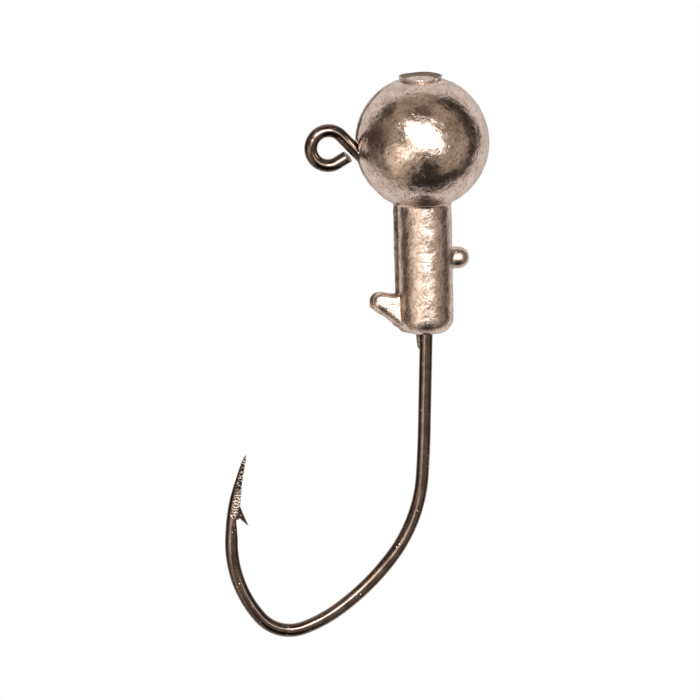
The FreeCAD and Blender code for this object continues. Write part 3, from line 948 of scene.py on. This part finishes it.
# The cut face rings take the dark brown painted shade along with their rough cut finish.
face_rings = len(STUB_PROFILE) - STUB_WALL_RINGS - STUB_RIM_RINGS
ring_finish_and_shade = [WALL_NIPPED] * STUB_WALL_RINGS + [RIM_NIPPED] * STUB_RIM_RINGS
ring_finish_and_shade += [FACE_FINISH_AND_SHADE] * face_rings
write_floats(gate_mesh, "finish_and_shade", np.repeat(ring_finish_and_shade, STUB_SPOKES))
gate_stub = place_piece("gate_stub", gate_mesh, 60)

# ------------------------------------------------------------------ flash tongue
# Thin flake of lead that squeezed down the parting line beside the shank and curled against
# it. It is part of the casting and was never trimmed off.
TONGUE_TOP = 17.5
TONGUE_END = 19.28
TONGUE_HALF_WIDTH = 0.17
TONGUE_EDGE = 0.012
TONGUE_HALF_THICK = 0.10
TONGUE_FROM_AXIS = -0.80
TONGUE_LEAN = 0.05
TONGUE_CURL = 0.10
TONGUE_STEPS = 14
TONGUE_ARC = 20
tongue_rings = []
for number in range(TONGUE_STEPS + 1):
    down = number / TONGUE_STEPS
    fall = TONGUE_TOP + (TONGUE_END - TONGUE_TOP) * down
    half_width = TONGUE_HALF_WIDTH * math.sqrt(max(1 - down ** 3, 0.0)) + TONGUE_EDGE
    half_thick = TONGUE_HALF_THICK * (1 - 0.5 * down)
    middle = TONGUE_FROM_AXIS + TONGUE_LEAN * down
    ring = []
    for spoke in range(TONGUE_ARC):
        angle = 2 * math.pi * spoke / TONGUE_ARC
        x = HEAD_X + middle + half_width * math.cos(angle)
        y = half_thick * math.sin(angle) - TONGUE_CURL * math.cos(angle) * (1 - down)
        ring.append((x, y, HEAD_Z - fall))
    tongue_rings.append(ring)
tongue_mesh = tube_mesh("flash_tongue", tongue_rings, lead)
# The tongue takes the same dark brown painted shade as the stub's cut face.
write_floats(tongue_mesh, "finish_and_shade", [FACE_FINISH_AND_SHADE] * len(tongue_mesh.vertices))
flash_tongue = place_piece("flash_tongue", tongue_mesh, 60)

join_pieces(lead_casting, gate_stub, flash_tongue)
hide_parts("lead_head")
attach(lead_casting, "root")

# ------------------------------------------------------------------ studio
# White paper floor and background, a large soft light beside the lens with a brighter bar
# in its middle, white cards behind and round the sides, and dark gaps between them.
VIEW_AZIMUTH = math.radians(-8.6)
VIEW_ELEVATION = math.radians(9.15)
VIEW_ROLL = math.radians(1.22)
VIEW_WIDTH = 64.56
VIEW_DISTANCE = 2400.0
VIEW_REFERENCE = Vector((8.78, 0.0, 0.11))
VIEW_CENTRE_RIGHT = -7.07
VIEW_CENTRE_UP = -18.965
SENSOR = 36.0

toward_viewer = Vector(
    (
        math.sin(VIEW_AZIMUTH) * math.cos(VIEW_ELEVATION),
        -math.cos(VIEW_AZIMUTH) * math.cos(VIEW_ELEVATION),
        math.sin(VIEW_ELEVATION),
    )
)
rightward = Vector((math.cos(VIEW_AZIMUTH), math.sin(VIEW_AZIMUTH), 0))
upward = toward_viewer.cross(rightward)

FLOOR_HALF = 4.0
FLOOR_GAP = 1.0
WHITE = (1.0, 1.0, 1.0)
floor_level = cad_low.z - FLOOR_GAP * MM
corners = [(x * FLOOR_HALF, y * FLOOR_HALF) for x, y in ((-1, -1), (1, -1), (1, 1), (-1, 1))]
floor_mesh = bpy.data.meshes.new("paper_floor")
floor_mesh.from_pydata([(x, y, floor_level) for x, y in corners], [], [(0, 1, 2, 3)])
paper_floor = bpy.data.objects.new("paper_floor", floor_mesh)
bpy.context.scene.collection.objects.link(paper_floor)
paper = bpy.data.materials.new("white_paper")
paper.use_nodes = True
paper.node_tree.nodes.clear()
bench = Bench(paper.node_tree)
glow = bench.add("ShaderNodeEmission", {}, {"Color": (*WHITE, 1.0), "Strength": 1.0})
bench.add("ShaderNodeOutputMaterial", {}, {"Surface": glow})
floor_mesh.materials.append(paper)
paper_floor.visible_glossy = False
paper_floor.visible_diffuse = False
paper_floor.visible_shadow = False

TENT_BRIGHT = (0.54, 0.455, 0.375)
TENT_DIM = (0.31, 0.255, 0.205)
SIDE_GLOW = (0.98, 0.86, 0.72)
DARK_GAP = (0.105, 0.070, 0.051)
SPILL = (2.20, 2.02, 1.85)
RIGHT_GAP = (0.060, 0.048, 0.038)
LEFT_GAP = (0.10, 0.08, 0.065)
LOW_GAP = (0.040, 0.036, 0.032)
LAMP = (3.0, 2.96, 2.92)
BAR = (19.0, 18.6, 18.2)
CARDS = (0.86, 0.80, 0.76)
BACK_CARD = (0.42, 0.40, 0.39)
# Dark gaps: across, up, width, height and depth.
GAPS = [
    (-0.54, 0.50, 0.16, 0.17, 0.80),
    (0.03, 0.46, 0.16, 0.12, 0.85),
    (-0.70, 0.05, 0.17, 0.32, 0.90),
    (0.60, 0.50, 0.18, 0.18, 0.85),
]

world = bpy.data.worlds.new("light_tent")
bpy.context.scene.world = world
world.use_nodes = True
world.node_tree.nodes.clear()
bench = Bench(world.node_tree)
looking = bench.add("ShaderNodeTexCoord", {}, {}, "Generated")
# Every direction as the place on a mirror ball where it would show from the front: across
# and up from -1 to 1, edge of the ball for what is straight behind it.
halfway = bench.vector("ADD", looking, tuple(toward_viewer))
halfway = bench.vector("NORMALIZE", halfway)
across_ball = bench.dot(halfway, tuple(rightward))
up_ball = bench.dot(halfway, tuple(upward))
soft_shape = noise_field(bench, looking, 2.2, 2.0)
wobble = (soft_shape - 0.5) * 0.22
torn = (noise_field(bench, looking, 6.5, 4.0, 0.7) - 0.5) * 2.3


def oval(x, y, wide, tall, solid, clear, ragged=0.0):
    """1 inside an oval on the mirror ball, fading to 0 from solid to clear."""
    off_x = (across_ball - x) / wide
    off_y = (up_ball - y) / tall
    return 1 - (off_x * off_x + off_y * off_y + ragged).step(solid, clear)


sideways = across_ball / 0.87
upways = up_ball / 0.74
edge = (sideways * sideways + upways * upways).root() + wobble * 0.5
cards = edge.step(0.95, 1.02)
behind = (across_ball * across_ball + up_ball * up_ball).root().step(0.955, 0.99)

lamp_x = abs(across_ball - 0.03 + (up_ball - 0.07) * 0.4) / 0.24
lamp_y = abs(up_ball - 0.083) / 0.218
lamp = 1 - (lamp_x.power(3) + lamp_y.power(5) + torn).step(0.75, 1.10)
bar = oval(0.06, 0.070, 0.14, 0.085, 0.55, 1.15, torn * 0.5)
side_glow = oval(-0.40, -0.24, 0.17, 0.24, 0.45, 1.4, wobble)
spill = oval(-0.24, -0.16, 0.14, 0.08, 0.7, 1.15)

below = -1 * up_ball - 0.16
wedge_width = below * 0.62 + 0.05
wedge = 1 - (abs(across_ball - 0.06 + wobble) / wedge_width).step(0.75, 1.2)
wedge = wedge * below.step(0.0, 0.08) * (1 - cards)

ring = (edge + wobble).step(0.74, 0.80) * (1 - cards)
right_ring = ring * across_ball.step(0.10, 0.30) * up_ball.step(-0.72, -0.62)
left_ring = ring * (-1 * across_ball).step(0.30, 0.50) * up_ball.step(-0.55, -0.25)

light = bench.blend(soft_shape.step(0.35, 0.7), TENT_BRIGHT, TENT_DIM)
light = bench.blend(side_glow, light, SIDE_GLOW)
for x, y, wide, tall, depth in GAPS:
    gap = oval(x, y, wide, tall, 0.4, 1.3, torn * 0.6)
    light = bench.blend(gap * depth, light, DARK_GAP)
for amount, colour in (
    (spill, SPILL),
    (right_ring, RIGHT_GAP),
    (left_ring * 0.75, LEFT_GAP),
    (wedge, LOW_GAP),
    (lamp, LAMP),
    (bar, BAR),
    (cards, CARDS),
    (behind * 0.6, BACK_CARD),
):
    light = bench.blend(amount, light, colour)
seen = bench.add("ShaderNodeLightPath", {}, {}, "Is Camera Ray")
light = bench.blend(seen, light, WHITE)
sky = bench.add("ShaderNodeBackground", {}, {"Color": light, "Strength": 1.0})
bench.add("ShaderNodeOutputWorld", {}, {"Surface": sky})

camera_data = bpy.data.cameras.new("viewer")
camera_data.sensor_width = SENSOR
camera_data.lens = SENSOR * VIEW_DISTANCE / VIEW_WIDTH
camera_data.clip_start = 0.01
camera_data.clip_end = 20.0
camera = bpy.data.objects.new("viewer", camera_data)
bpy.context.scene.collection.objects.link(camera)
target = VIEW_REFERENCE + rightward * VIEW_CENTRE_RIGHT + upward * VIEW_CENTRE_UP
camera.location = (target + toward_viewer * VIEW_DISTANCE) * MM
rolled_up = upward * math.cos(VIEW_ROLL) + rightward * math.sin(VIEW_ROLL)
rolled_right = rightward * math.cos(VIEW_ROLL) - upward * math.sin(VIEW_ROLL)
pose = Matrix((rolled_right, rolled_up, toward_viewer)).transposed()
camera.rotation_mode = "QUATERNION"
camera.rotation_quaternion = pose.to_quaternion()
bpy.context.scene.camera = camera
bpy.context.scene.view_settings.view_transform = "Standard"
